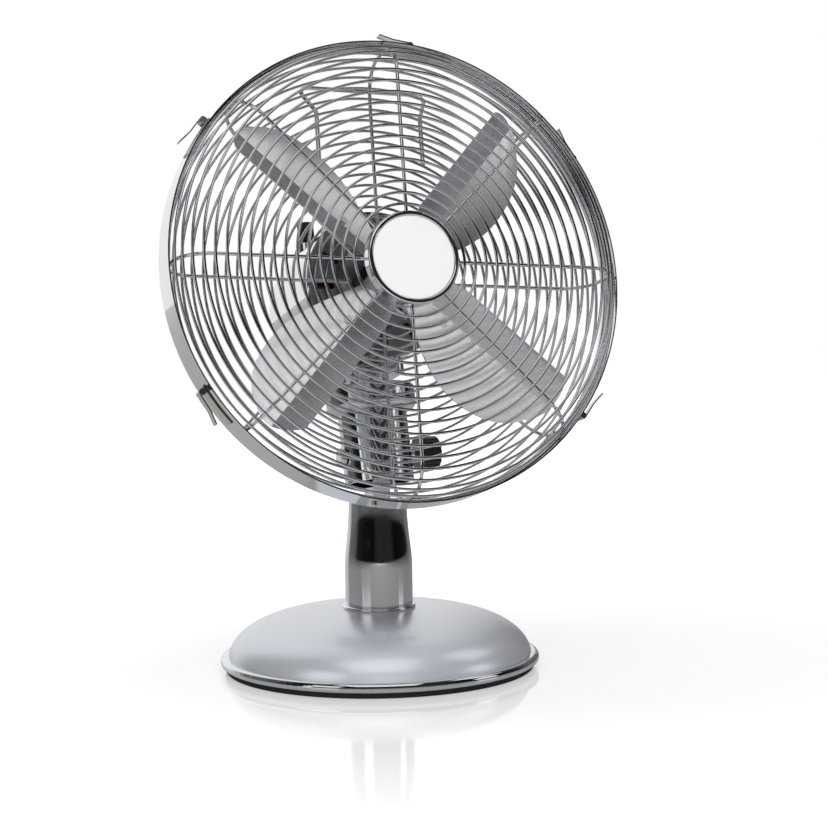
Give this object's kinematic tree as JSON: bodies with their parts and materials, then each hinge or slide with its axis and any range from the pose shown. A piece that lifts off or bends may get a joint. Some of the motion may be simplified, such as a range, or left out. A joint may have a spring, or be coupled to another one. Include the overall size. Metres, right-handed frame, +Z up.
{
  "type": "desk fan",
  "caption": "Retro chrome desk fan with creased metal blades in a wire guard, tilting and oscillating head, carry handle and a weighted domed base.",
  "frame": {"origin": "centre of the face that the rubber foot ring stands on", "axes": "+Z up, -Y the way the air blows, +X to the right of someone facing the fan"},
  "size_m": [0.3502, 0.244, 0.4813],
  "materials": {
    "chrome": "polished chrome plate",
    "blade_aluminium": "satin brushed",
    "nickel": "warm nickel plate",
    "steel": "plain steel",
    "black_plastic": "moulded, semi-gloss",
    "black_rubber": "matt",
    "black_paint": "matt",
    "white_enamel": "gloss enamel",
    "cast_iron": "rough",
    "brass": "machined",
    "copper": "enamelled copper wire"
  },
  "bodies": {
    "base": {"base_rim": "chrome", "base_shell": "chrome", "control_plate": "chrome", "speed_switch": "black_plastic", "cord_inlet": "black_plastic", "foot_ring": "black_rubber", "bottom_plate": "black_paint", "plate_screws": "nickel", "ballast": "cast_iron", "tie_rod": "steel", "column": "chrome", "column_collar": "chrome", "column_knuckle": "chrome", "tilt_bolt": "chrome"},
    "speed_knob": {"speed_knob": "black_plastic"},
    "tilt_knob": {"tilt_knob": "black_plastic"},
    "neck": {"neck_shell": "chrome", "tilt_spacers": "steel", "neck_drum": "chrome", "pivot_bush": "brass", "link_pin": "steel"},
    "head": {"saddle": "chrome", "pivot_post": "steel", "motor_shell": "chrome", "front_shield": "steel", "rear_shield": "steel", "shaft_bushes": "brass", "stator_core": "steel", "stator_windings": "copper", "rear_cap": "chrome", "rear_guard": "chrome", "front_guard": "chrome", "guard_nut": "black_plastic", "guard_band": "chrome", "band_screw": "nickel", "badge_bezel": "chrome", "badge_disc": "white_enamel", "carry_handle": "chrome", "latch_brackets": "nickel"},
    "rotor": {"motor_shaft": "steel", "rotor_core": "steel", "worm": "steel", "blade_hub": "steel", "blade_1": "blade_aluminium", "blade_2": "blade_aluminium", "blade_3": "blade_aluminium", "blade_4": "blade_aluminium", "blade_rivets": "nickel", "hub_nut": "nickel"},
    "worm_wheel": {"worm_wheel": "black_plastic"},
    "crank": {"crank": "steel"},
    "drive_link": {"drive_link": "steel"},
    "oscillation_knob": {"oscillation_knob": "black_plastic"},
    "latch_lever_1": {"latch_lever_1": "nickel"},
    "latch_lever_2": {"latch_lever_2": "nickel"},
    "latch_lever_3": {"latch_lever_3": "nickel"},
    "latch_lever_4": {"latch_lever_4": "nickel"},
    "latch_lever_5": {"latch_lever_5": "nickel"}
  },
  "joints": [
    {"name": "head_tilt", "type": "hinge", "parent": "base", "child": "neck", "pos_m": [0, 0, 0.1625], "axis": [-1, 0, 0], "range_deg": [-21, 12]},
    {"name": "head_oscillation", "type": "hinge", "parent": "neck", "child": "head", "pos_m": [0, 0.01433, 0.21249], "axis": [0, 0.2756, 0.9613], "range_deg": [-30, 30]},
    {"name": "blade_spin", "type": "hinge", "parent": "head", "child": "rotor", "pos_m": [0, -0.04469, 0.30306], "axis": [0, 0.9613, -0.2756], "continuous": true},
    {"name": "worm_wheel_spin", "type": "hinge", "parent": "head", "child": "worm_wheel", "pos_m": [-0.02, 0.07999, 0.26731], "axis": [0, 0.2756, 0.9613], "continuous": true},
    {"name": "crank_turn", "type": "hinge", "parent": "head", "child": "crank", "pos_m": [-0.02, 0.07999, 0.26731], "axis": [0, 0.2756, 0.9613], "range_deg": [-60, 60]},
    {"name": "link_turn", "type": "hinge", "parent": "crank", "child": "drive_link", "pos_m": [-0.038, 0.06276, 0.20723], "axis": [0, 0.2756, 0.9613], "range_deg": [-60, 60]},
    {"name": "oscillation_pull", "type": "slide", "parent": "head", "child": "oscillation_knob", "axis": [0, 0.2756, 0.9613], "range_m": [0, 0.008]},
    {"name": "speed_turn", "type": "hinge", "parent": "base", "child": "speed_knob", "pos_m": [0.024, 0.102, 0.0205], "axis": [0, 1, 0], "range_deg": [0, 135]},
    {"name": "tilt_clamp", "type": "hinge", "parent": "base", "child": "tilt_knob", "pos_m": [0.0323, 0, 0.1625], "axis": [1, 0, 0], "range_deg": [0, 180]},
    {"name": "latch_1", "type": "hinge", "parent": "head", "child": "latch_lever_1", "pos_m": [0.15653, -0.02091, 0.38597], "axis": [0, 0.9613, -0.2756], "range_deg": [0, 95]},
    {"name": "latch_2", "type": "hinge", "parent": "head", "child": "latch_lever_2", "pos_m": [0.03271, 0.00374, 0.47195], "axis": [0, 0.9613, -0.2756], "range_deg": [0, 95]},
    {"name": "latch_3", "type": "hinge", "parent": "head", "child": "latch_lever_3", "pos_m": [-0.1358, -0.01266, 0.41474], "axis": [0, 0.9613, -0.2756], "range_deg": [0, 95]},
    {"name": "latch_4", "type": "hinge", "parent": "head", "child": "latch_lever_4", "pos_m": [-0.15727, -0.06808, 0.22148], "axis": [0, 0.9613, -0.2756], "range_deg": [0, 95]},
    {"name": "latch_5", "type": "hinge", "parent": "head", "child": "latch_lever_5", "pos_m": [0.13621, -0.07658, 0.19184], "axis": [0, 0.9613, -0.2756], "range_deg": [0, 95]}
  ],
  "couplings": [
    {"joint": "worm_wheel_spin", "follows": "blade_spin", "ratio": 0.025},
    {"joint": "crank_turn", "follows": "head_oscillation", "ratio": -1.3948},
    {"joint": "link_turn", "follows": "head_oscillation", "ratio": 1.3948}
  ]
}
